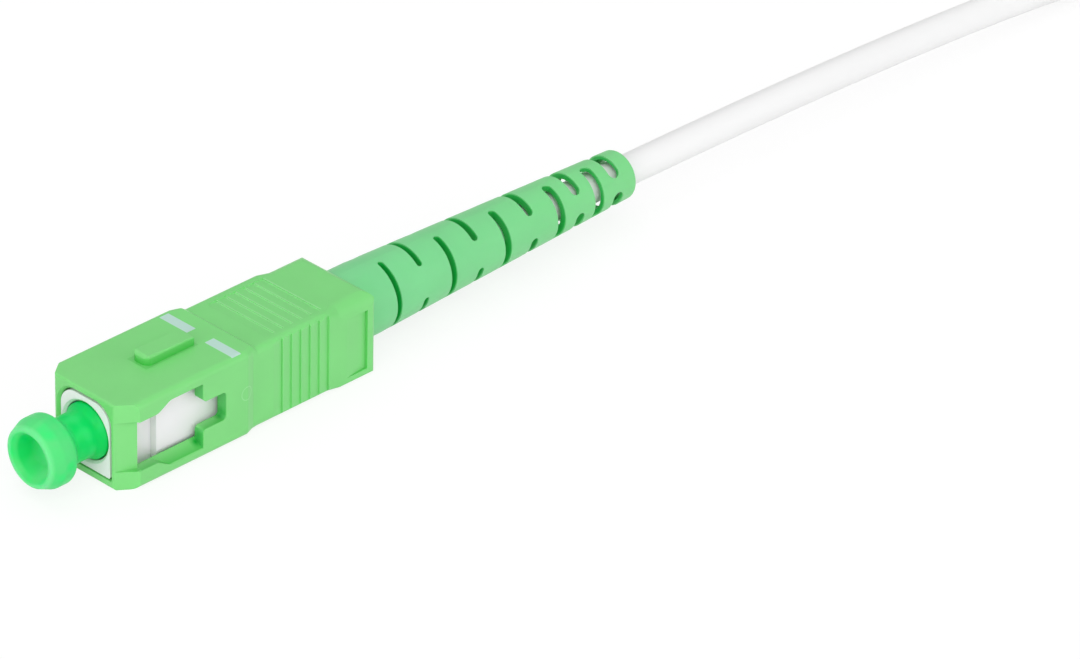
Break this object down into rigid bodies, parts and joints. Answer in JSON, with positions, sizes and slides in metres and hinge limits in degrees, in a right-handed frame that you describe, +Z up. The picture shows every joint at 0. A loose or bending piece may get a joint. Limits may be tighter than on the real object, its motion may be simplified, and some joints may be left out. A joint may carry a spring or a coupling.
{
  "type": "fibre optic connector",
  "caption": "Green angled SC fibre connector with push-pull grip housing, dust cap, slotted strain relief boot and a simplex pigtail lead",
  "frame": {"origin": "on the ferrule axis, at the front face of the plug frame", "axes": "+X from the mating end towards the cable, along the ferrule; +Z up through the polarising key; +Y across the connector"},
  "size_m": [0.1819, 0.0224, 0.0173],
  "materials": {
    "green_plastic": "moulded, lightly polished",
    "white_plastic": "moulded",
    "zirconia": "polished ceramic",
    "glass_fibre": "polished",
    "nickel_plate": "turned and plated",
    "spring_steel": "drawn wire",
    "yarn": "loose aramid strands",
    "crimp_metal": "crimped",
    "boot_rubber": "satin moulded",
    "cap_plastic": "translucent, soft",
    "white_jacket": "extruded jacket",
    "tie_plastic": "hook and loop strip"
  },
  "bodies": {
    "plug": {"plug_frame": "white_plastic", "rear_body": "nickel_plate", "guide_tube": "white_plastic", "aramid_yarn": "yarn", "crimp_sleeve": "crimp_metal", "strain_relief_boot": "boot_rubber", "ferrule_spring": "spring_steel", "cable_lead": "white_jacket", "cable_hank": "white_jacket", "hank_tie": "tie_plastic"},
    "grip": {"grip_housing": "green_plastic"},
    "ferrule_assembly": {"ferrule": "zirconia", "ferrule_flange": "nickel_plate", "optical_fibre": "glass_fibre", "tight_buffer": "white_plastic"},
    "cap": {"dust_cap": "cap_plastic"}
  },
  "joints": [
    {"name": "grip_slide", "type": "slide", "parent": "plug", "child": "grip", "axis": [1, 0, 0], "range_m": [0, 0.002]},
    {"name": "ferrule_float", "type": "slide", "parent": "plug", "child": "ferrule_assembly", "axis": [1, 0, 0], "range_m": [0, 0.001], "stiffness_N_per_m": 1500, "deforming": ["ferrule_spring"]},
    {"name": "cap_pull", "type": "slide", "parent": "ferrule_assembly", "child": "cap", "axis": [-1, 0, 0], "range_m": [0, 0.012]}
  ]
}
